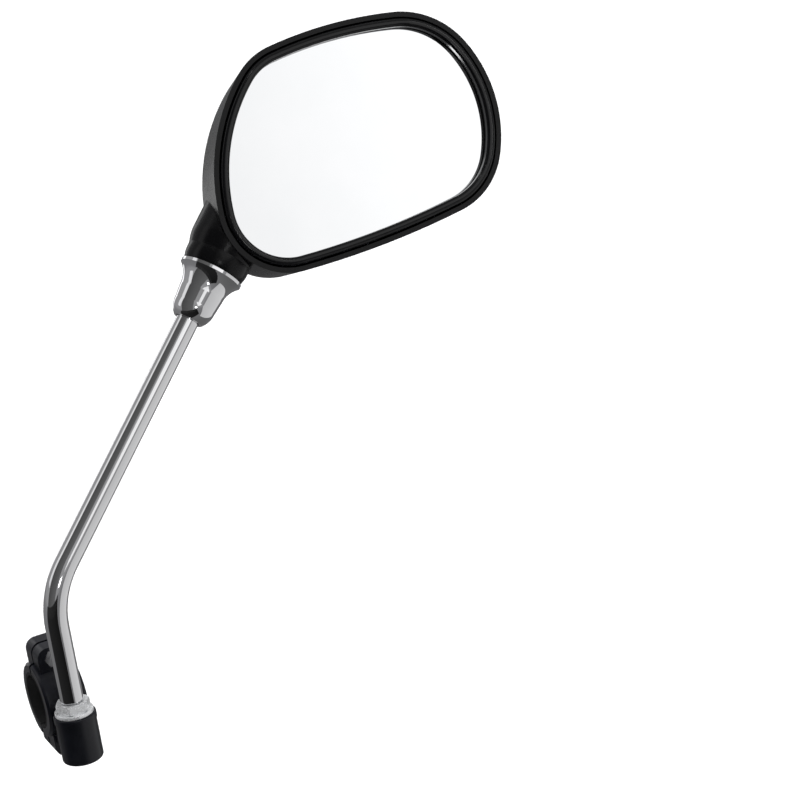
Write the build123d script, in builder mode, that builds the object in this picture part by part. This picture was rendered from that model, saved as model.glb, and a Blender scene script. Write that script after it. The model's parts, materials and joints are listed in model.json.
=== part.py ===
from build123d import *
import os
from math import cos, radians, sin, sqrt, tan

os.makedirs("parts", exist_ok=True)

# Bicycle handlebar mirror, millimetres.
# Origin: centre of the clamp bore. +X runs along the handlebar, +Z up, the rider is at -Y.

# ---------------------------------------------------------------- handlebar clamp
BAR_R = 11.1                # standard 22.2 mm handlebar
LINER_T = 1.4
BAND_R = 16.5
CLAMP_W = 18.0
SPLIT_GAP = 1.6             # open gap between the two halves when tight
EAR_SCREW_Z = 19.6          # clamp screws pass above and below the bar
EAR_R = 5.4
EAR_DEPTH = 7.5
SCREW_R = 2.0               # M4
SCREW_HEAD_R = 3.5
SCREW_HEAD_H = 3.0
COUNTERBORE = 3.5
EAR_W = 14.0
LINER_GAP = 0.8
NUT_AF = 7.0
NUT_H = 3.0
HEX_KEY_AF = 3.0
HEX_KEY_DEPTH = 2.0

# ---------------------------------------------------------------- boss and lock nut
BOSS_Y = -24.0
BOSS_R = 8.7
BOSS_TOP = 0.0
BOSS_BOTTOM = -21.0
THREAD_R = 4.0              # M8 stud
COLLAR_R = 9.0
COLLAR_H = 3.0
WEB_W = 12.0
WEB_H = 14.0
INSERT_R = 5.6
INSERT_BOTTOM = -18.0
WASHER_R = 8.2
WASHER_T = 1.6
LOCK_NUT_AF = 13.0
LOCK_NUT_TOP = 5.6

# ---------------------------------------------------------------- stem
TUBE_R = 5.0
TUBE_BORE_R = 3.5
PRESS_TOP = 12.0            # length of the ball stud pressed into the tube
PRESS_FOOT = 14.0           # length of the threaded stud pressed into the tube
TUBE_FOOT = 5.9             # tube end, just clear of the lock nut
BEND_Z = 54.0               # height where the two straight runs would meet
BEND_ANGLE = 44.4           # degrees from vertical
STEM_TURN = 14.7            # degrees, the slanted run swung from +X away from the rider
BEND_RADIUS = 36.0
REACH = 157.2               # from that meeting point to the ball's centre

# ---------------------------------------------------------------- ball joint
BALL_R = 8.8
STUD_R = 3.5
FIT = 0.08                  # running clearance between sliding surfaces
CLEAR = 0.3                 # clearance where nothing guides
DOME_R = 14.2
DOME_BORE_R = 11.6
DOME_OPENING = 47.0         # half angle of the opening that the stud swings in
SEAT_LOW = 45.0             # half angle of the seat's lower edge
TUBE_TOP = 13.6             # below the ball's centre
HOUSING_LEN = 20.8          # ball centre to the end of the joint housing
NECK_R = 15.6               # the housing swells from the dome to this where it enters the shell
NECK_START = 1.5
NECK_FULL = 9.0
CUP_R = 11.0
CUP_EDGE = 4.1
CUP_TOP = 10.9
SPRING_R = 4.6
SPRING_WIRE_R = 0.65
SPRING_TURNS = 3
RETAINER_BASE = 17.0        # the retainer is a strap: one end hooks into the housing, one is screwed
RETAINER_T = 1.8
RETAINER_HOOK = 12.8
RETAINER_W = 8.0
RETAINER_DISC_R = 6.0
RETAINER_SCREW = 15.2       # from the stem's line to the retainer's screw
RETAINER_POST_R = 3.0
RETAINER_POST_BASE = 10.5
RETAINER_HOLE_R = 1.1
RETAINER_SCREW_LEN = 5.0
RETAINER_HEAD_R = 2.3
RETAINER_HEAD_H = 1.5
RETAINER_PEG_LEN = 2.0
GLASS_ROOM = 10.3           # nothing of the housing stands in front of this height

# Chrome bell, distances measured down the stem from the ball's centre.
BELL_RIM = 5.8
BELL_LIP_R = 13.8
BELL_LIP_H = 1.3
BELL_BARREL_R = 9.8
BELL_FOOT = 29.0
BELL_FOOT_R = 6.4
BELL_SOCKET_R = 14.5
BUSH_TOP = 14.8
BUSH_FOOT = 26.8
BUSH_R = 7.2

# ---------------------------------------------------------------- head
HEAD_YAW = 7.0              # degrees, the face turned outward from the rider
HEAD_PITCH = 16.0           # degrees, the face tipped up
HEAD_ROLL = 6.0             # degrees, the long axis raised at its outer end
WALL = 2.2
LIP = 16.0                  # front edge of the rear shell, in front of the ball's centre
RIM = 17.5                  # front of the bezel
BACK = -14.5                # crown of the back
BACK_INSET = 3.6            # how much smaller the back is than the front
BACK_SHIFT = (-4.8, -2.7)   # the back leans towards the joint
CROWN_R = 600.0
CROWN_CENTRE = (46.0, 26.0)
SHOULDER_R = 6.0
SHOULDER_INWARD = 0.6       # the shoulder tightens by this much per millimetre moved inward
HEAD_CENTRE = (69.7, 31.5)
BEZEL_OUTER = 2.9           # insets from the head's outline
BEZEL_INNER = 6.5
BEZEL_ROUND_OUTER = 1.7
BEZEL_ROUND_INNER = 1.3
SKIRT_OUTER = 3.4
SKIRT_INNER = 4.35
SKIRT_BASE = 11.7
GASKET_INNER = 6.2
GLASS_EDGE = 4.5
GLASS_CROWN_R = 1200.0
GLASS_TOP = 14.4
GLASS_T = 2.0
LIP_UNDERSIDE = 14.1
PAD_EDGE = 8.0
PLATE_TOP = 10.1
PLATE_T = 1.5
PLATE_EDGE = 4.6
JOINT_NOTCH_R = 31.0        # the plate and pad stop short of the ball joint
POSTS = [(18.0, 35.0), (124.0, 39.0), (115.0, 3.1), (47.5, -6.2)]
POST_R = 3.2
POST_HOLE_R = 1.25
BACKING_SCREW_R = 1.25
BACKING_HEAD_R = 2.5
BACKING_SCREW_LEN = 9.0
WINDOW_FOOT = 40.8
WINDOW_TOP = 65.6
WINDOW_CORNER_R = 5.0
WINDOW_DEPTH = 17.0
LENS_GAP = 0.15
TRAY_LAP = 1.8
TRAY_T = 1.2

# Outline of the head, seen from the front about the ball's centre: centre and radius of each
# broad side arc, and the radius that rounds each side into the next.
SIDES = [((78.5, 31.0), 58.6), ((70.8, -108.5), 188.0), ((86.8, 7.7), 84.2), ((52.7, 391.5), 408.3)]
CORNERS = [37.2, 30.0, 29.6, 32.7]


def direction(x, y, z):
    return Vector(x, y, z).normalized()


# ---------------------------------------------------------------- frames
lean = radians(BEND_ANGLE)
turn = radians(STEM_TURN)
stem_dir = direction(sin(lean) * cos(turn), sin(lean) * sin(turn), cos(lean))
stem_side = direction(cos(lean) * cos(turn), cos(lean) * sin(turn), -sin(lean))
bend_point = Vector(0, BOSS_Y, BEND_Z)
ball_centre = bend_point + stem_dir * REACH
stem_frame = Plane(origin=ball_centre, x_dir=stem_side, z_dir=stem_dir)
stem_section = Plane(origin=ball_centre, x_dir=stem_side, z_dir=stem_side.cross(stem_dir))
stem_axis = Axis(ball_centre, stem_dir)

yaw = radians(HEAD_YAW)
pitch = radians(HEAD_PITCH)
roll = radians(HEAD_ROLL)
face_normal = direction(-sin(yaw) * cos(pitch), -cos(yaw) * cos(pitch), sin(pitch))
level = direction(cos(yaw), -sin(yaw), 0)
head_long = level * cos(roll) + face_normal.cross(level) * sin(roll)
head_frame = Plane(origin=ball_centre, x_dir=head_long, z_dir=face_normal)

# Direction across both the stem and the face normal: the retainer's strap lies along it.
housing_cross = stem_dir.cross(face_normal).normalized()
housing_frame = Plane(origin=ball_centre, x_dir=housing_cross, z_dir=stem_dir)
housing_section = Plane(origin=ball_centre, x_dir=housing_cross, z_dir=housing_cross.cross(stem_dir))

boss_frame = Plane(origin=(0, BOSS_Y, 0), x_dir=(1, 0, 0), z_dir=(0, 0, 1))


# ---------------------------------------------------------------- helpers
def corner_centre(side_a, side_b, radius, near):
    """Centre of the arc of this radius that touches both side circles from the inside."""
    (ax, ay), ra = side_a
    (bx, by), rb = side_b
    reach_a = ra - radius
    reach_b = rb - radius
    gap = sqrt((bx - ax) ** 2 + (by - ay) ** 2)
    along = (reach_a ** 2 - reach_b ** 2 + gap ** 2) / (2 * gap)
    across = sqrt(reach_a ** 2 - along ** 2)
    ux = (bx - ax) / gap
    uy = (by - ay) / gap
    foot = (ax + along * ux, ay + along * uy)
    choices = [(foot[0] - across * uy, foot[1] + across * ux), (foot[0] + across * uy, foot[1] - across * ux)]
    return min(choices, key=lambda c: (c[0] - near[0]) ** 2 + (c[1] - near[1]) ** 2)


def touch(centre, radius, towards):
    """Point of a circle in the direction of another point."""
    length = sqrt((towards[0] - centre[0]) ** 2 + (towards[1] - centre[1]) ** 2)
    return Vector(
        centre[0] + radius * (towards[0] - centre[0]) / length,
        centre[1] + radius * (towards[1] - centre[1]) / length,
    )


corner_hints = [(105, 50), (35, 50), (35, 10), (105, 10)]
corner_centres = [
    corner_centre(SIDES[i], SIDES[(i + 1) % 4], CORNERS[i], corner_hints[i]) for i in range(4)
]


def head_outline(inset, height, shift=(0, 0)):
    """The head's outline as a face, moved inward by inset and placed at this height."""
    move = Vector(*shift)
    with BuildSketch(head_frame.offset(height)) as outline:
        with BuildLine():
            for i, (side_centre, side_r) in enumerate(SIDES):
                before = corner_centres[i - 1]
                after = corner_centres[i]
                start = touch(side_centre, side_r - inset, before)
                end = touch(side_centre, side_r - inset, after)
                chord_mid = ((start.X + end.X) / 2, (start.Y + end.Y) / 2)
                middle = touch(side_centre, side_r - inset, chord_mid)
                ThreePointArc(start + move, middle + move, end + move)
                next_centre, next_r = SIDES[(i + 1) % 4]
                turn_end = touch(next_centre, next_r - inset, after)
                chord_mid = ((end.X + turn_end.X) / 2, (end.Y + turn_end.Y) / 2)
                turn_mid = touch(after, CORNERS[i] - inset, chord_mid)
                ThreePointArc(end + move, turn_mid + move, turn_end + move)
        make_face()
    return outline.sketch


def head_ring(outer, inner, base, top):
    """Ring between two insets of the head's outline, from base to top."""
    with BuildPart() as ring:
        extrude(head_outline(outer, base), amount=top - base)
        extrude(head_outline(inner, base), amount=top - base, mode=Mode.SUBTRACT)
    return ring.part


def head_form(inset):
    """Solid volume of the head, moved inward by inset: drafted sides and a crowned back."""
    back_plane = BACK - 1
    with BuildPart() as form:
        loft([head_outline(inset, LIP), head_outline(inset + BACK_INSET, back_plane, BACK_SHIFT)], ruled=True)
        crown = head_frame.from_local_coords(Vector(*CROWN_CENTRE, BACK + CROWN_R))
        with Locations(crown):
            Sphere(CROWN_R - inset, mode=Mode.INTERSECT)
        depth = Axis(ball_centre, face_normal)
        back = form.faces().sort_by(depth)[0]
        fillet(back.edges(), SHOULDER_R - inset * SHOULDER_INWARD)
    return form.part


def window_prism(grow):
    """Straight prism through the back wall with the reflector's outline."""
    with BuildPart() as prism:
        with BuildSketch(head_frame.offset(BACK - 4)):
            with BuildLine():
                Line((27.9, WINDOW_FOOT), (119.3, WINDOW_FOOT))
                far = ThreePointArc((119.3, WINDOW_FOOT), (115.2, 56.8), (101.2, WINDOW_TOP))
                Line(far @ 1, (41.3, WINDOW_TOP))
                ThreePointArc((41.3, WINDOW_TOP), (33.1, 54.0), (27.9, WINDOW_FOOT))
            make_face()
            corners = vertices().sort_by(Axis.Y)[-2:]
            fillet(corners.sort_by(Axis.X)[0], WINDOW_CORNER_R)
            if grow:
                offset(amount=grow)
        extrude(amount=WINDOW_DEPTH)
    return prism.part


def on_face(u, v, height):
    """Plane at a point of the head, in the head's own coordinates."""
    return Plane(
        origin=head_frame.from_local_coords(Vector(u, v, height)), x_dir=head_long, z_dir=face_normal
    )


BASE = (Align.CENTER, Align.CENTER, Align.MIN)
TOP = (Align.CENTER, Align.CENTER, Align.MAX)
HOOK_SIDE = (Align.MAX, Align.CENTER, Align.MIN)
SCREW_SIDE = (Align.MIN, Align.CENTER, Align.MIN)

outer_form = head_form(0)
cavity_form = head_form(WALL)
tray_form = head_form(WALL + TRAY_T)


# ================================================================ head pieces
# Joint housing: a spherical seat around the ball, open below for the stud's swing. Its dome swells into
# the neck and runs on into the shell as a tube, level with the shell's back, with one screw post.
opening = radians(DOME_OPENING)
dome_edge = (DOME_R * sin(opening), -DOME_R * cos(opening))
seat_edge = (DOME_BORE_R * sin(opening), -DOME_BORE_R * cos(opening))
with BuildPart() as housing:
    with BuildSketch(housing_section):
        with BuildLine():
            CenterArc((0, 0), DOME_R, DOME_OPENING - 90, 90 - DOME_OPENING)
            Line((DOME_R, 0), (DOME_R, NECK_START))
            Spline((DOME_R, NECK_START), (NECK_R, NECK_FULL), tangents=[(0.3, 1), (0, 1)])
            Line((NECK_R, NECK_FULL), (NECK_R, HOUSING_LEN))
            Line((NECK_R, HOUSING_LEN), (DOME_BORE_R, HOUSING_LEN))
            Line((DOME_BORE_R, HOUSING_LEN), (DOME_BORE_R, 0))
            CenterArc((0, 0), DOME_BORE_R, 0, DOME_OPENING - 90)
            Line(seat_edge, dome_edge)
        make_face()
    revolve(axis=stem_axis)
    with Locations(Location(housing_frame)):
        with Locations((RETAINER_SCREW, 0, RETAINER_POST_BASE)):
            Cylinder(RETAINER_POST_R, RETAINER_BASE - RETAINER_POST_BASE, align=BASE)
    with Locations(Location(head_frame.offset(BACK + 0.2))):
        Box(NECK_R * 6, NECK_R * 6, NECK_R, align=TOP, mode=Mode.SUBTRACT)
    extrude(head_outline(BEZEL_OUTER - CLEAR, GLASS_ROOM), amount=NECK_R, mode=Mode.SUBTRACT)

# Room that the shell's walls leave for the joint: the bore, and the flare below it.
with BuildPart() as joint_bore:
    with BuildSketch(housing_section):
        with BuildLine():
            flare_end = 2 * DOME_R
            Line((0, HOUSING_LEN), (DOME_BORE_R, HOUSING_LEN))
            Line((DOME_BORE_R, HOUSING_LEN), (DOME_BORE_R, 0))
            CenterArc((0, 0), DOME_BORE_R, 0, DOME_OPENING - 90)
            Line(seat_edge, (flare_end * tan(opening), -flare_end))
            Line((flare_end * tan(opening), -flare_end), (0, -flare_end))
            Line((0, -flare_end), (0, HOUSING_LEN))
        make_face()
    revolve(axis=stem_axis)

# Screw posts that the backing plate stands on.
with BuildPart() as posts:
    for u, v in POSTS:
        with BuildSketch(on_face(u, v, PLATE_TOP - PLATE_T)):
            Circle(POST_R)
    extrude(amount=BACK - PLATE_TOP)
    add(outer_form, mode=Mode.INTERSECT)

# Rear shell: the hollow black casing with its ball joint housing.
with BuildPart() as rear_shell:
    add(outer_form)
    add(cavity_form, mode=Mode.SUBTRACT)
    add(joint_bore.part, mode=Mode.SUBTRACT)
    add(housing.part)
    add(posts.part)
    for u, v in POSTS:
        with BuildSketch(on_face(u, v, PLATE_TOP - PLATE_T)):
            Circle(POST_HOLE_R)
    extrude(amount=-BACKING_SCREW_LEN, mode=Mode.SUBTRACT)
    add(window_prism(0), mode=Mode.SUBTRACT)
    with Locations(Location(housing_frame.offset(RETAINER_BASE))):
        slot_w = RETAINER_W + CLEAR
        Box(RETAINER_HOOK + 0.2, slot_w, RETAINER_T, align=HOOK_SIDE, mode=Mode.SUBTRACT)
        Box(RETAINER_SCREW + 4, slot_w, HOUSING_LEN, align=SCREW_SIDE, mode=Mode.SUBTRACT)
        with Locations((RETAINER_SCREW, 0, 0)):
            Cylinder(RETAINER_HOLE_R, RETAINER_SCREW_LEN, align=TOP, mode=Mode.SUBTRACT)
rear_shell.part.label = "rear_shell"
export_step(rear_shell.part, "parts/rear_shell.step")

# Front bezel: the rounded ring that holds the glass, with a thin skirt around the glass edge.
with BuildPart() as front_bezel:
    add(head_ring(BEZEL_OUTER, BEZEL_INNER, LIP_UNDERSIDE, RIM))
    depth = Axis(ball_centre, face_normal)
    fillet(front_bezel.faces().sort_by(depth)[-1].outer_wire().edges(), BEZEL_ROUND_OUTER)
    fillet(front_bezel.faces().sort_by(depth)[-1].inner_wires()[0].edges(), BEZEL_ROUND_INNER)
    add(head_ring(SKIRT_OUTER, SKIRT_INNER, SKIRT_BASE, LIP_UNDERSIDE))
front_bezel.part.label = "front_bezel"
export_step(front_bezel.part, "parts/front_bezel.step")

# The glass is cut from a large sphere, so both faces and the gasket follow the same centre.
glass_sphere = head_frame.from_local_coords(Vector(*HEAD_CENTRE, GLASS_TOP - GLASS_CROWN_R))

# Mirror glass: convex, 2 mm thick.
with BuildPart() as mirror_glass:
    extrude(head_outline(GLASS_EDGE, PLATE_TOP), amount=GLASS_TOP - PLATE_TOP + 1)
    with Locations(glass_sphere):
        Sphere(GLASS_CROWN_R, mode=Mode.INTERSECT)
        Sphere(GLASS_CROWN_R - GLASS_T, mode=Mode.SUBTRACT)
mirror_glass.part.label = "mirror_glass"
export_step(mirror_glass.part, "parts/mirror_glass.step")

# Gasket: soft black ring between the bezel's lip and the glass.
with BuildPart() as glass_gasket:
    add(head_ring(GLASS_EDGE, GASKET_INNER, SKIRT_BASE, LIP_UNDERSIDE))
    with Locations(glass_sphere):
        Sphere(GLASS_CROWN_R, mode=Mode.SUBTRACT)
glass_gasket.part.label = "glass_gasket"
export_step(glass_gasket.part, "parts/glass_gasket.step")

# Adhesive pad: foam that fills the space behind the glass's curved back.
with BuildPart() as adhesive_pad:
    extrude(head_outline(PAD_EDGE, PLATE_TOP), amount=GLASS_TOP - PLATE_TOP)
    with Locations(glass_sphere):
        Sphere(GLASS_CROWN_R - GLASS_T, mode=Mode.INTERSECT)
    with Locations(Location(head_frame)):
        Cylinder(JOINT_NOTCH_R + 2, 60, mode=Mode.SUBTRACT)
adhesive_pad.part.label = "adhesive_pad"
export_step(adhesive_pad.part, "parts/adhesive_pad.step")

# Backing plate: carries the glass and screws to the posts.
with BuildPart() as backing_plate:
    extrude(head_outline(PLATE_EDGE, PLATE_TOP), amount=-PLATE_T)
    with Locations(Location(head_frame)):
        Cylinder(JOINT_NOTCH_R, 60, mode=Mode.SUBTRACT)
    with Locations(*[Location(on_face(u, v, PLATE_TOP)) for u, v in POSTS]):
        CounterSinkHole(BACKING_SCREW_R + 0.3, BACKING_HEAD_R + 0.2)
backing_plate.part.label = "backing_plate"
export_step(backing_plate.part, "parts/backing_plate.step")

# Backing screws: four countersunk self-tapping screws.
with BuildPart() as backing_screws:
    with Locations(*[Location(on_face(u, v, PLATE_TOP)) for u, v in POSTS]):
        Cone(BACKING_SCREW_R, BACKING_HEAD_R, BACKING_HEAD_R - BACKING_SCREW_R, align=TOP)
        Cylinder(BACKING_SCREW_R, BACKING_SCREW_LEN, align=TOP)
backing_screws.part.label = "backing_screws"
export_step(backing_screws.part, "parts/backing_screws.step")

# Reflector lens: sits in the window of the shell, flush with the back.
with BuildPart() as reflector_lens:
    add(window_prism(-LENS_GAP))
    add(outer_form, mode=Mode.INTERSECT)
    add(cavity_form, mode=Mode.SUBTRACT)
reflector_lens.part.label = "reflector_lens"
export_step(reflector_lens.part, "parts/reflector_lens.step")

# Reflector tray: closes the window from inside, behind the lens.
with BuildPart() as reflector_tray:
    add(window_prism(TRAY_LAP))
    add(cavity_form, mode=Mode.INTERSECT)
    add(tray_form, mode=Mode.SUBTRACT)
reflector_tray.part.label = "reflector_tray"
export_step(reflector_tray.part, "parts/reflector_tray.step")

# ================================================================ ball joint pieces
# Upper ball cup: pressed down on the ball by the spring.
with BuildPart(housing_frame) as upper_ball_cup:
    Sphere(CUP_R)
    with Locations((0, 0, CUP_EDGE)):
        Cylinder(CUP_R * 2, CUP_R * 4, align=TOP, mode=Mode.SUBTRACT)
    with Locations((0, 0, CUP_EDGE)):
        Cylinder(SPRING_R + 1.4, CUP_TOP - CUP_EDGE, align=BASE)
    Sphere(BALL_R + FIT, mode=Mode.SUBTRACT)
upper_ball_cup.part.label = "upper_ball_cup"
export_step(upper_ball_cup.part, "parts/upper_ball_cup.step")

# Joint spring: a short coil between the cup and the retainer.
spring_base = CUP_TOP + SPRING_WIRE_R + 0.05
spring_rise = RETAINER_BASE - CUP_TOP - 2 * SPRING_WIRE_R - 0.1
with BuildPart() as joint_spring:
    with BuildLine() as coil:
        Helix(
            pitch=spring_rise / SPRING_TURNS,
            height=spring_rise,
            radius=SPRING_R,
            center=ball_centre + stem_dir * spring_base,
            direction=stem_dir,
        )
    with BuildSketch(Plane(origin=coil.line @ 0, z_dir=coil.line % 0)):
        Circle(SPRING_WIRE_R)
    sweep(path=coil.line, is_frenet=True)
joint_spring.part.label = "joint_spring"
export_step(joint_spring.part, "parts/joint_spring.step")

# Spring retainer: a strap across the housing's end with a peg that centres the spring.
with BuildPart() as spring_retainer:
    with BuildSketch(housing_frame.offset(RETAINER_BASE)):
        with Locations((-RETAINER_HOOK, 0)):
            Rectangle(RETAINER_HOOK + RETAINER_SCREW, RETAINER_W, align=(Align.MIN, Align.CENTER))
        with Locations((RETAINER_SCREW, 0)):
            Circle(RETAINER_W / 2)
            Circle(RETAINER_HOLE_R + 0.3, mode=Mode.SUBTRACT)
        Circle(RETAINER_DISC_R)
    extrude(amount=RETAINER_T)
    with BuildSketch(housing_frame.offset(RETAINER_BASE)):
        Circle(SPRING_R - SPRING_WIRE_R - 0.4)
    extrude(amount=-RETAINER_PEG_LEN)
spring_retainer.part.label = "spring_retainer"
export_step(spring_retainer.part, "parts/spring_retainer.step")

# Retainer screw: one pan-head self-tapping screw.
with BuildPart(housing_frame) as retainer_screw:
    with Locations((RETAINER_SCREW, 0, RETAINER_BASE + RETAINER_T)):
        Cylinder(RETAINER_HEAD_R, RETAINER_HEAD_H, align=BASE)
        Cylinder(RETAINER_HOLE_R, RETAINER_SCREW_LEN + RETAINER_T - 0.5, align=TOP)
retainer_screw.part.label = "retainer_screw"
export_step(retainer_screw.part, "parts/retainer_screw.step")

# Lower ball seat: spherical nylon ring between the ball and the dome.
seat_outer = DOME_BORE_R - FIT
seat_inner = BALL_R + FIT
low = radians(SEAT_LOW)
with BuildPart() as lower_ball_seat:
    with BuildSketch(stem_section):
        with BuildLine():
            CenterArc((0, 0), seat_outer, SEAT_LOW - 90, 90 - SEAT_LOW)
            Line((seat_outer, 0), (seat_inner, 0))
            CenterArc((0, 0), seat_inner, 0, SEAT_LOW - 90)
            Line(
                (seat_inner * sin(low), -seat_inner * cos(low)),
                (seat_outer * sin(low), -seat_outer * cos(low)),
            )
        make_face()
    revolve(axis=stem_axis)
lower_ball_seat.part.label = "lower_ball_seat"
export_step(lower_ball_seat.part, "parts/lower_ball_seat.step")

# Chrome bell: flared lip, waisted neck and rounded foot, with a spherical socket for the dome.
with BuildPart() as chrome_bell:
    with BuildSketch(stem_section):
        with BuildLine():
            socket_rim = sqrt(BELL_SOCKET_R ** 2 - BELL_RIM ** 2)
            socket_floor = sqrt(BELL_SOCKET_R ** 2 - BUSH_R ** 2)
            Line((socket_rim, -BELL_RIM), (BELL_LIP_R, -BELL_RIM))
            Line((BELL_LIP_R, -BELL_RIM), (BELL_LIP_R, -BELL_RIM - BELL_LIP_H))
            ThreePointArc((BELL_LIP_R, -BELL_RIM - BELL_LIP_H), (11.1, -10.6), (BELL_BARREL_R, -16.2))
            Line((BELL_BARREL_R, -16.2), (9.2, -22.0))
            ThreePointArc((9.2, -22.0), (8.4, -25.9), (BELL_FOOT_R, -BELL_FOOT))
            Line((BELL_FOOT_R, -BELL_FOOT), (TUBE_R + CLEAR, -BELL_FOOT))
            Line((TUBE_R + CLEAR, -BELL_FOOT), (TUBE_R + CLEAR, -BUSH_FOOT))
            Line((TUBE_R + CLEAR, -BUSH_FOOT), (BUSH_R, -BUSH_FOOT))
            Line((BUSH_R, -BUSH_FOOT), (BUSH_R, -socket_floor))
            RadiusArc((BUSH_R, -socket_floor), (socket_rim, -BELL_RIM), -BELL_SOCKET_R)
        make_face()
    revolve(axis=stem_axis)
chrome_bell.part.label = "chrome_bell"
export_step(chrome_bell.part, "parts/chrome_bell.step")

# Bell bush: pressed into the bell, running on the stem.
with BuildPart(stem_frame) as bell_bush:
    with Locations((0, 0, -BUSH_TOP)):
        Cylinder(BUSH_R, BUSH_FOOT - BUSH_TOP, align=TOP)
        Cylinder(TUBE_R + FIT, BUSH_FOOT - BUSH_TOP, align=TOP, mode=Mode.SUBTRACT)
bell_bush.part.label = "bell_bush"
export_step(bell_bush.part, "parts/bell_bush.step")

# ================================================================ stem pieces
# Stem tube: bent chromed steel tube.
with BuildPart() as stem_tube:
    with BuildLine() as stem_path:
        FilletPolyline(
            (0, BOSS_Y, TUBE_FOOT), bend_point, ball_centre - stem_dir * TUBE_TOP, radius=BEND_RADIUS
        )
    with BuildSketch(boss_frame.offset(TUBE_FOOT)):
        Circle(TUBE_R)
        Circle(TUBE_BORE_R, mode=Mode.SUBTRACT)
    sweep(path=stem_path.line)
    fillet(stem_tube.edges().sort_by(Axis.Z)[:2].sort_by(SortBy.LENGTH)[-1], 0.4)
stem_tube.part.label = "stem_tube"
export_step(stem_tube.part, "parts/stem_tube.step")

# Ball stud: steel ball on a shank pressed into the top of the tube.
with BuildPart(stem_frame) as ball_stud:
    Sphere(BALL_R)
    Cylinder(STUD_R, TUBE_TOP + PRESS_TOP, align=TOP)
ball_stud.part.label = "ball_stud"
export_step(ball_stud.part, "parts/ball_stud.step")

# Threaded stud: M8, its plain upper end pressed into the foot of the tube.
with BuildPart(boss_frame.offset(TUBE_FOOT)) as threaded_stud:
    Cylinder(TUBE_BORE_R, PRESS_FOOT, align=BASE)
    Cylinder(THREAD_R, TUBE_FOOT - INSERT_BOTTOM - 1, align=TOP)
    chamfer(threaded_stud.edges().sort_by(Axis.Z)[0], 0.8)
threaded_stud.part.label = "threaded_stud"
export_step(threaded_stud.part, "parts/threaded_stud.step")

# Lock nut: M8 hexagon nut with chamfered corners.
nut_base = BOSS_TOP + WASHER_T
nut_height = LOCK_NUT_TOP - nut_base
with BuildPart(boss_frame.offset(nut_base)) as lock_nut:
    Cylinder(LOCK_NUT_AF / 2 * 1.15, nut_height, align=BASE)
    chamfer(lock_nut.edges().filter_by(GeomType.CIRCLE), 0.7)
    with BuildSketch(boss_frame.offset(nut_base)):
        RegularPolygon(LOCK_NUT_AF / 2, 6, major_radius=False)
    extrude(amount=nut_height, mode=Mode.INTERSECT)
    Cylinder(THREAD_R + FIT, nut_height, align=BASE, mode=Mode.SUBTRACT)
lock_nut.part.label = "lock_nut"
export_step(lock_nut.part, "parts/lock_nut.step")

# Washer: flat, between the lock nut and the boss.
with BuildPart(boss_frame.offset(BOSS_TOP)) as washer:
    Cylinder(WASHER_R, WASHER_T, align=BASE)
    Cylinder(THREAD_R + CLEAR, WASHER_T, align=BASE, mode=Mode.SUBTRACT)
    fillet(washer.edges().filter_by(GeomType.CIRCLE).group_by(SortBy.RADIUS)[-1], 0.3)
washer.part.label = "washer"
export_step(washer.part, "parts/washer.step")

# ================================================================ clamp pieces
ear_points = [(0, EAR_SCREW_Z), (0, -EAR_SCREW_Z)]
ear_height = 2 * (EAR_SCREW_Z + EAR_R)


def split_plane(y, outward):
    """Plane across the clamp at this y, facing +Y or -Y, with its local y along +Z."""
    return Plane(origin=(0, y, 0), x_dir=(-outward, 0, 0), z_dir=(0, outward, 0))


def half_clamp(outward):
    """Half of the clamp band with its upper and lower ears, on the +Y or the -Y side."""
    keep = Align.MIN if outward > 0 else Align.MAX
    with BuildPart() as half:
        with BuildSketch(Plane.YZ.offset(-CLAMP_W / 2)):
            Circle(BAND_R)
        extrude(amount=CLAMP_W)
        chamfer(half.edges().filter_by(GeomType.CIRCLE), 1.0)
        with Locations((0, outward * SPLIT_GAP / 2, 0)):
            Box(60, 60, 60, align=(Align.CENTER, keep, Align.CENTER), mode=Mode.INTERSECT)
        with BuildSketch(split_plane(outward * SPLIT_GAP / 2, outward)):
            RectangleRounded(EAR_W, ear_height, 4.5)
        extrude(amount=EAR_DEPTH)
    return half.part


# Boss: vertical cylinder with a slightly larger collar, and a web that joins it to the band.
with BuildPart(boss_frame.offset(BOSS_TOP)) as boss:
    Cylinder(BOSS_R, BOSS_TOP - BOSS_BOTTOM, align=TOP)
    fillet(boss.edges().filter_by(GeomType.CIRCLE).sort_by(Axis.Z)[0], 1.2)
    Cylinder(COLLAR_R, COLLAR_H, align=TOP)
    fillet(boss.edges().filter_by(GeomType.CIRCLE).sort_by(Axis.Z)[-1], 0.5)
    with Locations((0, 0, -COLLAR_H - 1)):
        Box(WEB_W, 2 * BOSS_R, WEB_H, align=(Align.CENTER, Align.MIN, Align.MAX))

# Clamp body: front half of the band, its two ears and the boss that carries the stem.
with BuildPart() as clamp_body:
    add(half_clamp(-1))
    add(boss.part)
    with BuildSketch(Plane.YZ.offset(-CLAMP_W / 2)):
        Circle(BAR_R + LINER_T)
    extrude(amount=CLAMP_W, mode=Mode.SUBTRACT)
    with Locations((0, BOSS_Y, BOSS_TOP)):
        Cylinder(INSERT_R, BOSS_TOP - INSERT_BOTTOM, align=TOP, mode=Mode.SUBTRACT)
        Cylinder(WASHER_R + CLEAR, BAND_R, align=BASE, mode=Mode.SUBTRACT)
    with BuildSketch(split_plane(-SPLIT_GAP / 2, -1)):
        with Locations(*ear_points):
            Circle(SCREW_R + 0.25)
    extrude(amount=EAR_DEPTH, mode=Mode.SUBTRACT)
    with BuildSketch(split_plane(-SPLIT_GAP / 2 - EAR_DEPTH, -1)):
        with Locations(*ear_points):
            RegularPolygon(NUT_AF / 2 + 0.1, 6, major_radius=False)
    extrude(amount=-NUT_H - 0.3, mode=Mode.SUBTRACT)
clamp_body.part.label = "clamp_body"
export_step(clamp_body.part, "parts/clamp_body.step")

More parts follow.
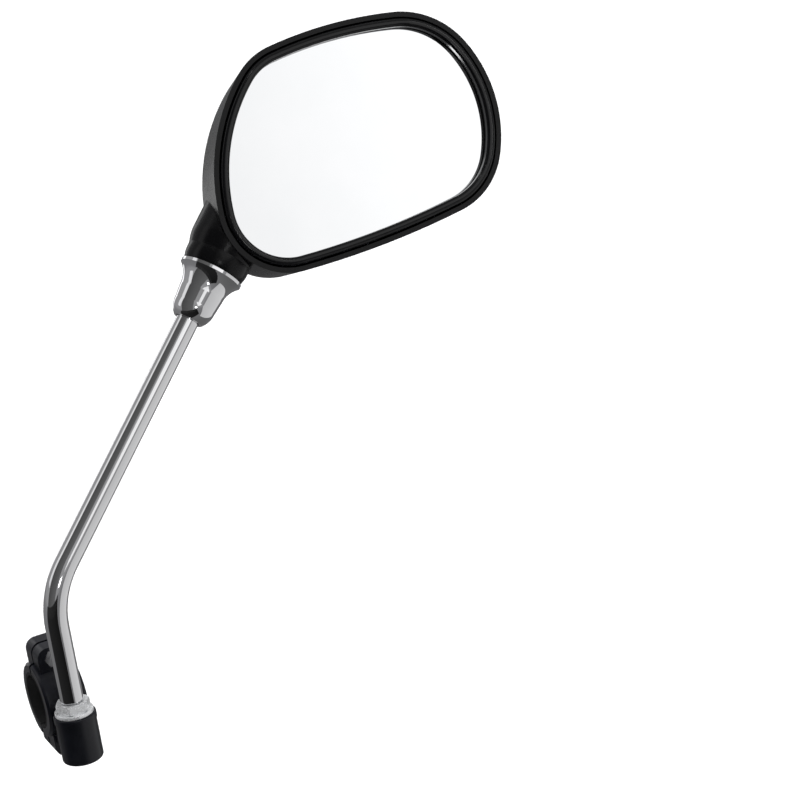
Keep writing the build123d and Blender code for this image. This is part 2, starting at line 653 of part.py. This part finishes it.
# Clamp cap: rear half, with counterbores for the two screw heads.
with BuildPart() as clamp_cap:
    add(half_clamp(1))
    with BuildSketch(Plane.YZ.offset(-CLAMP_W / 2)):
        Circle(BAR_R + LINER_T)
    extrude(amount=CLAMP_W, mode=Mode.SUBTRACT)
    with BuildSketch(split_plane(SPLIT_GAP / 2, 1)):
        with Locations(*ear_points):
            Circle(SCREW_R + 0.25)
    extrude(amount=EAR_DEPTH, mode=Mode.SUBTRACT)
    with BuildSketch(split_plane(SPLIT_GAP / 2 + EAR_DEPTH, 1)):
        with Locations(*ear_points):
            Circle(SCREW_HEAD_R + 0.3)
    extrude(amount=-COUNTERBORE, mode=Mode.SUBTRACT)
clamp_cap.part.label = "clamp_cap"
export_step(clamp_cap.part, "parts/clamp_cap.step")

# Liner halves: rubber strips that grip the bar.
for name, outward in (("liner_front", -1), ("liner_rear", 1)):
    keep = Align.MIN if outward > 0 else Align.MAX
    with BuildPart() as liner:
        with BuildSketch(Plane.YZ.offset(-CLAMP_W / 2)):
            Circle(BAR_R + LINER_T)
            Circle(BAR_R, mode=Mode.SUBTRACT)
        extrude(amount=CLAMP_W)
        with Locations((0, outward * LINER_GAP / 2, 0)):
            Box(60, 60, 60, align=(Align.CENTER, keep, Align.CENTER), mode=Mode.INTERSECT)
    liner.part.label = name
    export_step(liner.part, f"parts/{name}.step")

# Thread insert: brass, moulded into the boss.
with BuildPart(boss_frame.offset(BOSS_TOP)) as thread_insert:
    insert_len = BOSS_TOP - INSERT_BOTTOM
    Cylinder(INSERT_R, insert_len, align=TOP)
    Cylinder(THREAD_R + FIT, insert_len, align=TOP, mode=Mode.SUBTRACT)
thread_insert.part.label = "thread_insert"
export_step(thread_insert.part, "parts/thread_insert.step")

# Clamp screws: two M4 socket-head screws, from the cap into the nuts.
seat_y = SPLIT_GAP / 2 + EAR_DEPTH - COUNTERBORE
tip_y = -SPLIT_GAP / 2 - EAR_DEPTH
with BuildPart() as clamp_screws:
    with BuildSketch(split_plane(seat_y, 1)):
        with Locations(*ear_points):
            Circle(SCREW_HEAD_R)
    extrude(amount=SCREW_HEAD_H)
    chamfer(clamp_screws.edges().filter_by(GeomType.CIRCLE).group_by(Axis.Y)[-1], 0.4)
    with BuildSketch(split_plane(seat_y, -1)):
        with Locations(*ear_points):
            Circle(SCREW_R)
    extrude(amount=seat_y - tip_y)
    with BuildSketch(split_plane(seat_y + SCREW_HEAD_H, 1)):
        with Locations(*ear_points):
            RegularPolygon(HEX_KEY_AF / 2, 6, major_radius=False)
    extrude(amount=-HEX_KEY_DEPTH, mode=Mode.SUBTRACT)
clamp_screws.part.label = "clamp_screws"
export_step(clamp_screws.part, "parts/clamp_screws.step")

# Clamp nuts: two M4 hexagon nuts, held in pockets of the body's ears.
with BuildPart() as clamp_nuts:
    with BuildSketch(split_plane(tip_y + NUT_H + 0.3, -1)):
        with Locations(*ear_points):
            RegularPolygon(NUT_AF / 2, 6, major_radius=False)
            Circle(SCREW_R, mode=Mode.SUBTRACT)
    extrude(amount=NUT_H)
clamp_nuts.part.label = "clamp_nuts"
export_step(clamp_nuts.part, "parts/clamp_nuts.step")
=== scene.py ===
import json
from math import atan2, cos, hypot, pi, radians, sin, sqrt

import bmesh
import bpy
from mathutils import Matrix, Vector, geometry


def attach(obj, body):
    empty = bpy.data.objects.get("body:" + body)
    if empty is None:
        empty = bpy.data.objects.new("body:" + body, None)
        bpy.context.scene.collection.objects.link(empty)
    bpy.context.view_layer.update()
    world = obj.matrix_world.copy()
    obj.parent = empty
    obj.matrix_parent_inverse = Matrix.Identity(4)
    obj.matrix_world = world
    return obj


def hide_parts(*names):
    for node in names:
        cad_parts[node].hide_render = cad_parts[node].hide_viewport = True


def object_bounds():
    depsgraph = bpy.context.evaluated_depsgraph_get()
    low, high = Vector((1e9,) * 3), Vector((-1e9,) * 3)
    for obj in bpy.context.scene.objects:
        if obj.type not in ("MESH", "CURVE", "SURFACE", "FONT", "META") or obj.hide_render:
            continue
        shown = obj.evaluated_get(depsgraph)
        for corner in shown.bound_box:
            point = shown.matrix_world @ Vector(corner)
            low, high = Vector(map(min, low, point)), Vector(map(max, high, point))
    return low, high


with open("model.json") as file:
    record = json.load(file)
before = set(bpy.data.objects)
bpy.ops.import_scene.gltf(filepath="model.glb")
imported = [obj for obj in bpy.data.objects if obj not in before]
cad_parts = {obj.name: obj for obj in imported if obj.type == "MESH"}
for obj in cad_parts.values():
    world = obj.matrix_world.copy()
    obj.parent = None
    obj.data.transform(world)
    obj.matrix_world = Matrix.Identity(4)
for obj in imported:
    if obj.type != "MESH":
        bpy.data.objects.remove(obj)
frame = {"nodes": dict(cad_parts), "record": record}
cad_low, cad_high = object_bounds()
nodes = frame["nodes"]
MM = 0.001

# ------------------------------------------------------------------ camera
LENS = 100.0
CAMERA_AT = Vector((-0.2138, -0.8618, 0.3863))
CAMERA_AZIMUTH = radians(-24.53)
CAMERA_ELEVATION = radians(17.68)
CAMERA_ROLL = radians(8.29)


def add_camera():
    """The camera at the photograph's viewing angle, rolled as the photograph is."""
    a, e, r = CAMERA_AZIMUTH, CAMERA_ELEVATION, CAMERA_ROLL
    right = Vector((cos(a), sin(a), 0))
    up = Vector((-sin(a) * sin(e), cos(a) * sin(e), cos(e)))
    back = Vector((sin(a) * cos(e), -cos(a) * cos(e), sin(e)))
    x = right * cos(r) - up * sin(r)
    y = right * sin(r) + up * cos(r)
    camera = bpy.data.objects.new("camera", bpy.data.cameras.new("camera"))
    camera.data.lens = LENS
    camera.data.sensor_width = 36.0
    camera.data.clip_start = 0.01
    camera.matrix_world = Matrix.Translation(CAMERA_AT) @ Matrix((x, y, back)).transposed().to_4x4()
    bpy.context.scene.collection.objects.link(camera)
    bpy.context.scene.camera = camera


# ------------------------------------------------------------------ node helpers
def new_material(name):
    material = bpy.data.materials.new(name)
    material.use_nodes = True
    tree = material.node_tree
    shader = tree.nodes["Principled BSDF"]
    return material, tree, shader


def add_node(tree, kind, **settings):
    node = tree.nodes.new(kind)
    for key, value in settings.items():
        if key in node.inputs:
            node.inputs[key].default_value = value
        else:
            setattr(node, key, value)
    return node


def object_coords(tree):
    return add_node(tree, "ShaderNodeTexCoord").outputs["Object"]


def noise(tree, scale, detail=3.0, roughness=0.5):
    node = add_node(tree, "ShaderNodeTexNoise", Scale=scale, Detail=detail, Roughness=roughness)
    tree.links.new(object_coords(tree), node.inputs["Vector"])
    return node.outputs["Fac"]


def remap(tree, value, low, high, from_low=0.3, from_high=0.7):
    node = add_node(tree, "ShaderNodeMapRange")
    node.inputs["From Min"].default_value = from_low
    node.inputs["From Max"].default_value = from_high
    node.inputs["To Min"].default_value = low
    node.inputs["To Max"].default_value = high
    tree.links.new(value, node.inputs["Value"])
    return node.outputs["Result"]


def ramp(tree, value, *stops):
    """Colour ramp from a value; each stop is (position, (r, g, b))."""
    node = add_node(tree, "ShaderNodeValToRGB")
    elements = node.color_ramp.elements
    while len(elements) < len(stops):
        elements.new(0.5)
    for element, (position, colour) in zip(elements, stops):
        element.position = position
        element.color = (*colour, 1)
    tree.links.new(value, node.inputs["Fac"])
    return node.outputs["Color"]


def bump(tree, shader, height, strength, distance):
    node = add_node(tree, "ShaderNodeBump", Strength=strength, Distance=distance)
    tree.links.new(height, node.inputs["Height"])
    tree.links.new(node.outputs["Normal"], shader.inputs["Normal"])


# ------------------------------------------------------------------ materials
MOTTLING = 60.0             # scale of the slow changes of tone and gloss in the plastics


def plastic(name, dark, light, rough, grain_scale, grain_depth, specular=0.5, mottling=MOTTLING, marks=0.0):
    """Moulded plastic: spark-eroded grain, slow changes of tone and gloss, and faint handling marks."""
    material, tree, shader = new_material(name)
    slow = noise(tree, mottling, 4.0, 0.6)
    fine = noise(tree, grain_scale, 2.0, 0.6)
    smears = noise(tree, mottling * 3.2, 6.0, 0.75)
    tree.links.new(ramp(tree, slow, (0.3, dark), (0.7, light)), shader.inputs["Base Color"])
    total = add_node(tree, "ShaderNodeMath", operation="ADD")
    tree.links.new(remap(tree, slow, rough - 0.04, rough + 0.05), total.inputs[0])
    tree.links.new(remap(tree, smears, 0.0, marks, 0.55, 0.75), total.inputs[1])
    tree.links.new(total.outputs[0], shader.inputs["Roughness"])
    shader.inputs["Specular IOR Level"].default_value = specular
    bump(tree, shader, fine, 0.35, grain_depth)
    return material


def metal(name, dark, light, rough_low, rough_high, scale=180.0, depth=0.00001):
    """Metal with slow tone changes and fine marks."""
    material, tree, shader = new_material(name)
    marks = noise(tree, scale, 5.0, 0.65)
    slow = noise(tree, 40.0, 3.0, 0.5)
    tree.links.new(ramp(tree, slow, (0.25, dark), (0.75, light)), shader.inputs["Base Color"])
    tree.links.new(remap(tree, marks, rough_low, rough_high), shader.inputs["Roughness"])
    shader.inputs["Metallic"].default_value = 1.0
    if depth:
        bump(tree, shader, marks, 0.15, depth)
    return material


def make_materials():
    shell = plastic(
        "shell_plastic", (0.002, 0.002, 0.0024), (0.0035, 0.0035, 0.004),
        rough=0.24, grain_scale=2600, grain_depth=0.00003, specular=0.19, marks=0.1,
    )
    bezel = plastic(
        "bezel_plastic", (0.0015, 0.0015, 0.002), (0.003, 0.003, 0.0035),
        rough=0.12, grain_scale=900, grain_depth=0.00001, specular=0.32, marks=0.08,
    )
    clamp = plastic(
        "clamp_plastic", (0.0022, 0.0026, 0.005), (0.004, 0.0047, 0.009),
        rough=0.32, grain_scale=1900, grain_depth=0.00005, specular=0.36, mottling=90, marks=0.1,
    )
    seal = plastic(
        "seal_rubber", (0.003, 0.003, 0.003), (0.006, 0.006, 0.006),
        rough=0.6, grain_scale=1800, grain_depth=0.00004, specular=0.3,
    )
    liner = plastic(
        "liner_rubber", (0.006, 0.006, 0.006), (0.012, 0.012, 0.012),
        rough=0.7, grain_scale=1600, grain_depth=0.00006, specular=0.3,
    )
    inner = plastic(
        "inner_plastic", (0.03, 0.03, 0.032), (0.05, 0.05, 0.052),
        rough=0.5, grain_scale=1200, grain_depth=0.00005,
    )
    reflector = metal("reflector_clear", (0.70, 0.71, 0.73), (0.84, 0.85, 0.87), 0.1, 0.18, 700.0)
    clear = reflector.node_tree.nodes["Principled BSDF"].inputs
    clear["Metallic"].default_value = 0.78
    clear["Coat Weight"].default_value = 1.0
    clear["Coat Roughness"].default_value = 0.04
    zinc = metal("bright_zinc", (0.74, 0.75, 0.76), (0.88, 0.89, 0.90), 0.2, 0.32, 420.0)
    zinc.node_tree.nodes["Principled BSDF"].inputs["Metallic"].default_value = 0.6
    return {
        "shell_plastic": shell,
        "bezel_plastic": bezel,
        "seal_rubber": seal,
        "mirror": metal("mirror", (0.90, 0.91, 0.92), (0.93, 0.935, 0.945), 0.012, 0.03, 30.0, 0.0),
        "pad_foam": plastic("pad_foam", (0.06, 0.06, 0.06), (0.11, 0.11, 0.11), 0.85, 900, 0.0003),
        "inner_plastic": inner,
        "steel_screw": metal("steel_screw", (0.5, 0.5, 0.51), (0.68, 0.68, 0.69), 0.22, 0.38),
        "reflector_clear": reflector,
        "reflector_tray": metal("reflector_tray", (0.8, 0.81, 0.82), (0.9, 0.9, 0.91), 0.08, 0.16),
        "nylon": plastic("nylon", (0.66, 0.66, 0.61), (0.76, 0.76, 0.71), 0.45, 900, 0.00003),
        "spring_steel": metal("spring_steel", (0.42, 0.42, 0.43), (0.58, 0.58, 0.59), 0.25, 0.35),
        "chrome": metal("chrome", (0.80, 0.80, 0.815), (0.86, 0.86, 0.87), 0.025, 0.06, 240.0, 0.000002),
        "ball_steel": metal("ball_steel", (0.5, 0.5, 0.51), (0.64, 0.64, 0.65), 0.15, 0.3),
        "bright_zinc": zinc,
        "clamp_plastic": clamp,
        "liner_rubber": liner,
        "brass": metal("brass", (0.55, 0.40, 0.17), (0.72, 0.55, 0.26), 0.2, 0.35),
    }


materials = make_materials()
for entry in frame["record"]["subparts"]:
    node_object = nodes[entry["node"]]
    node_object.data.materials.clear()
    node_object.data.materials.append(materials[entry["material_slot"]])

# ------------------------------------------------------------------ reflector with moulded prisms
BALL = Vector((0.106387, 0.003910, 0.166315))
HEAD_YAW, HEAD_PITCH, HEAD_ROLL = radians(7), radians(16), radians(6)
FACE_NORMAL = Vector((-sin(HEAD_YAW) * cos(HEAD_PITCH), -cos(HEAD_YAW) * cos(HEAD_PITCH), sin(HEAD_PITCH)))
LEVEL = Vector((cos(HEAD_YAW), -sin(HEAD_YAW), 0))
HEAD_LONG = LEVEL * cos(HEAD_ROLL) + FACE_NORMAL.cross(LEVEL) * sin(HEAD_ROLL)
HEAD_UP = FACE_NORMAL.cross(HEAD_LONG)
BACK, CROWN_R, CROWN_CENTRE = -14.5, 600.0, (46.0, 26.0)
WINDOW_FOOT, WINDOW_TOP = 40.8, 65.6
LENS_T = 2.0
PRISM_PITCH = 2.3
PRISM_FIELD_END = 89.0      # beyond this the lens carries only shallow ridges
PRISM_DEPTHS = (0.06, 0.85)     # of a pyramid's peak and foot, below the back's surface
RIDGE_DEPTHS = (0.30, 0.42)
FIELD_CENTRE = (73.0, 53.0)
FIELD_STEPS = 140           # half pitches laid out each way from the centre
LENS_CLEARANCE = 0.2        # between the lens and its window
BORDER_INSET, BORDER_FOOT_INSET, FIELD_INSET = 1.1, 1.35, 1.6
BORDER_FOOT_DEPTH = 0.45


def head_point(u, v, depth):
    """Point of the back, in millimetres along the head, with a depth inward from its crown."""
    crown = BACK + CROWN_R - sqrt(CROWN_R ** 2 - (u - CROWN_CENTRE[0]) ** 2 - (v - CROWN_CENTRE[1]) ** 2)
    return BALL + (HEAD_LONG * u + HEAD_UP * v + FACE_NORMAL * (crown + depth)) * MM


def arc_points(a, b, c, count):
    """Points on the circle through a, b and c, from a to c."""
    d = 2 * (a[0] * (b[1] - c[1]) + b[0] * (c[1] - a[1]) + c[0] * (a[1] - b[1]))
    sa, sb, sc = (p[0] ** 2 + p[1] ** 2 for p in (a, b, c))
    x = (sa * (b[1] - c[1]) + sb * (c[1] - a[1]) + sc * (a[1] - b[1])) / d
    y = (sa * (c[0] - b[0]) + sb * (a[0] - c[0]) + sc * (b[0] - a[0])) / d
    radius = hypot(a[0] - x, a[1] - y)
    start = atan2(a[1] - y, a[0] - x)
    sweep = (atan2(c[1] - y, c[0] - x) - start) % (2 * pi)
    return [
        (x + radius * cos(start + sweep * i / count), y + radius * sin(start + sweep * i / count))
        for i in range(count + 1)
    ]


def window_outline():
    """The window's outline, counterclockwise: foot, far arc, top, rounded near corner, near arc."""
    outline = [(27.9, WINDOW_FOOT)]
    outline += arc_points((119.3, WINDOW_FOOT), (115.2, 56.8), (101.2, WINDOW_TOP), 16)
    near_top, corner, near_side = (43.8, WINDOW_TOP), (41.3, WINDOW_TOP), (39.7, 63.6)
    for i in range(7):
        t = i / 6
        outline.append(tuple(
            (1 - t) ** 2 * near_top[k] + 2 * t * (1 - t) * corner[k] + t * t * near_side[k] for k in (0, 1)
        ))
    outline += arc_points(near_side, (33.1, 54.0), (27.9, WINDOW_FOOT), 10)[1:-1]
    return outline


def inset_outline(outline, inset):
    """A convex outline moved inward."""
    moved = []
    count = len(outline)
    for i in range(count):
        lines = []
        for p, q in ((outline[i - 1], outline[i]), (outline[i], outline[(i + 1) % count])):
            length = hypot(q[0] - p[0], q[1] - p[1])
            nx, ny = -(q[1] - p[1]) / length, (q[0] - p[0]) / length
            lines.append((nx, ny, nx * p[0] + ny * p[1] + inset))
        (a, b, c), (d, e, f) = lines
        cross = a * e - b * d
        moved.append(((c * e - b * f) / cross, (a * f - c * d) / cross))
    return moved


def inside(outline, u, v):
    """True inside a convex counterclockwise outline."""
    for p, q in zip(outline, outline[1:] + outline[:1]):
        if (q[0] - p[0]) * (v - p[1]) - (q[1] - p[1]) * (u - p[0]) < 0:
            return False
    return True


def add_reflector():
    """Reflector lens: a flush border, then a field of small pyramids and one of shallow ridges."""
    outline = window_outline()
    border = inset_outline(outline, LENS_CLEARANCE)
    border_inner = inset_outline(outline, BORDER_INSET)
    border_foot = inset_outline(outline, BORDER_FOOT_INSET)
    field = inset_outline(outline, FIELD_INSET)
    points, depths, edges = [], [], []
    for ring, depth in ((border, 0.0), (border_inner, 0.0), (border_foot, BORDER_FOOT_DEPTH)):
        first = len(points)
        points += ring
        depths += [depth] * len(ring)
        edges += [(first + i, first + (i + 1) % len(ring)) for i in range(len(ring))]
    half = PRISM_PITCH / 2
    root = sqrt(0.5)
    steps = range(-FIELD_STEPS, FIELD_STEPS)
    for i in steps:
        for j in steps:
            if (i + j) % 2:
                continue
            along, across = i * half, j * half
            u = FIELD_CENTRE[0] + (along - across) * root
            v = FIELD_CENTRE[1] + (along + across) * root
            if not inside(field, u, v):
                continue
            peak_depth, foot_depth = PRISM_DEPTHS if u < PRISM_FIELD_END else RIDGE_DEPTHS
            points.append((u, v))
            depths.append(peak_depth if i % 2 == 0 else foot_depth)
    flat, _, faces, sources, _, _ = geometry.delaunay_2d_cdt(
        [Vector(point) for point in points], edges, [], 1, 1e-5
    )
    shape = bmesh.new()
    top = [
        shape.verts.new(head_point(place.x, place.y, depths[source[0]]))
        for place, source in zip(flat, sources)
    ]
    for face in faces:
        shape.faces.new([top[i] for i in reversed(face)])
    count = len(border)
    rim = [top[next(k for k, source in enumerate(sources) if i in source)] for i in range(count)]
    foot = [shape.verts.new(head_point(u, v, LENS_T)) for u, v in border]
    for i in range(count):
        j = (i + 1) % count
        shape.faces.new((rim[i], rim[j], foot[j], foot[i]))
    shape.faces.new(foot)
    bmesh.ops.recalc_face_normals(shape, faces=shape.faces)
    mesh = bpy.data.meshes.new("reflector_prisms")
    shape.to_mesh(mesh)
    shape.free()
    mesh.materials.append(materials["reflector_clear"])
    lens = bpy.data.objects.new("reflector_prisms", mesh)
    bpy.context.scene.collection.objects.link(lens)
    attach(lens, "mirror_head")
    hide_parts("reflector_lens")


add_reflector()

# ------------------------------------------------------------------ studio
add_camera()
bpy.context.scene.view_settings.view_transform = "Standard"


FLOOR_DROP = 0.12           # the clamp sits on a bar, so the floor lies below it
FLOOR_HALF = 12.0
HEAD_POINT = Vector((0.15, -0.03, 0.20))    # what the lights and cards face


def add_floor():
    """Large plain pale floor below the clamp."""
    mesh = bpy.data.meshes.new("floor")
    size, height = FLOOR_HALF, cad_low.z - FLOOR_DROP
    corners = [(-size, -size, height), (size, -size, height), (size, size, height), (-size, size, height)]
    mesh.from_pydata(corners, [], [(0, 1, 2, 3)])
    floor = bpy.data.objects.new("floor", mesh)
    bpy.context.scene.collection.objects.link(floor)
    material, tree, shader = new_material("floor")
    shade = noise(tree, 3.0, 2.0, 0.5)
    colour = ramp(tree, shade, (0.2, (0.86, 0.86, 0.865)), (0.8, (0.88, 0.88, 0.885)))
    tree.links.new(colour, shader.inputs["Base Color"])
    shader.inputs["Roughness"].default_value = 0.9
    shader.inputs["Specular IOR Level"].default_value = 0.1
    mesh.materials.append(material)
    floor.visible_glossy = False


def add_world():
    """Studio surround: dark below, grey at the horizon, lighter overhead."""
    world = bpy.data.worlds.new("studio")
    bpy.context.scene.world = world
    world.use_nodes = True
    tree = world.node_tree
    separate = add_node(tree, "ShaderNodeSeparateXYZ")
    tree.links.new(add_node(tree, "ShaderNodeTexCoord").outputs["Generated"], separate.inputs["Vector"])
    height = remap(tree, separate.outputs["Z"], 0.0, 1.0, -1.0, 1.0)
    stops = (
        (0.0, (0.12, 0.12, 0.12)),
        (0.46, (0.2, 0.2, 0.205)),
        (0.54, (0.3, 0.3, 0.305)),
        (1.0, (0.36, 0.36, 0.36)),
    )
    tree.links.new(ramp(tree, height, *stops), tree.nodes["Background"].inputs["Color"])
    tree.nodes["Background"].inputs["Strength"].default_value = 1.0


def aim(thing, azimuth, elevation, distance):
    """Put a light or card round the head, facing it; azimuth 0 is in front, at -Y, and +X is positive."""
    a, e = radians(azimuth), radians(elevation)
    thing.location = HEAD_POINT + Vector((sin(a) * cos(e), -cos(a) * cos(e), sin(e))) * distance
    thing.rotation_mode = "QUATERNION"
    thing.rotation_quaternion = (HEAD_POINT - thing.location).to_track_quat("-Z", "Y")
    bpy.context.scene.collection.objects.link(thing)


def add_sky_light():
    """Broad light from overhead, even over the whole floor."""
    light = bpy.data.lights.new("sky_light", "SUN")
    light.energy = 3.7
    light.angle = radians(75)
    lamp = bpy.data.objects.new("sky_light", light)
    lamp.rotation_euler = (radians(-18), radians(12), 0)
    lamp.visible_glossy = False
    bpy.context.scene.collection.objects.link(lamp)


def add_softbox(name, azimuth, elevation, distance, size_x, size_y, brightness):
    """Rectangular softbox; its brightness is what a perfect mirror would show of it."""
    light = bpy.data.lights.new(name, "AREA")
    light.shape = "RECTANGLE"
    light.size = size_x
    light.size_y = size_y
    light.energy = brightness * pi * size_x * size_y
    aim(bpy.data.objects.new(name, light), azimuth, elevation, distance)


def add_card(name, azimuth, elevation, distance, size_x, size_y, left, right):
    """Studio card seen only in reflections, its brightness running from left to right."""
    mesh = bpy.data.meshes.new(name)
    x, y = size_x / 2, size_y / 2
    mesh.from_pydata([(-x, -y, 0), (x, -y, 0), (x, y, 0), (-x, y, 0)], [], [(0, 1, 2, 3)])
    card = bpy.data.objects.new(name, mesh)
    aim(card, azimuth, elevation, distance)
    material, tree, shader = new_material(name)
    shader.inputs["Base Color"].default_value = (0.005, 0.005, 0.005, 1)
    shader.inputs["Roughness"].default_value = 1.0
    shader.inputs["Specular IOR Level"].default_value = 0.0
    shader.inputs["Emission Color"].default_value = (1, 1, 1, 1)
    across = add_node(tree, "ShaderNodeSeparateXYZ")
    tree.links.new(object_coords(tree), across.inputs["Vector"])
    glow = remap(tree, across.outputs["X"], left, right, -x, x)
    tree.links.new(glow, shader.inputs["Emission Strength"])
    mesh.materials.append(material)
    card.visible_camera = False
    card.visible_diffuse = False
    card.visible_shadow = False


add_floor()
add_world()
add_sky_light()
add_softbox("left", -112, 32, 1.8, 0.6, 1.4, 0.5)
add_softbox("right_strip", 58, 30, 1.6, 0.22, 1.2, 0.8)
add_softbox("spot_near", -16, 4, 1.4, 0.20, 0.14, 7)
add_softbox("spot_high", -34, 58, 1.4, 0.12, 0.12, 8)
add_softbox("rim_strip", 30, 26, 1.5, 0.05, 0.9, 7)
add_softbox("back_high", 150, 38, 1.6, 0.5, 1.0, 1.6)
add_softbox("back_low", -168, 4, 1.6, 0.35, 0.9, 1.0)
add_card("key", 11, 24, 1.6, 1.0, 0.95, 0.90, 1.2)
add_card("dark_left", -62, 25, 1.5, 1.9, 2.0, 0.06, 0.12)
add_card("dark_right", 116, 15, 1.5, 1.0, 1.8, 0.05, 0.04)
add_card("dark_low", -55, -24, 1.3, 2.6, 0.9, 0.02, 0.006)
add_card("pale_low_right", 58, -30, 1.4, 2.4, 1.5, 0.55, 0.7)
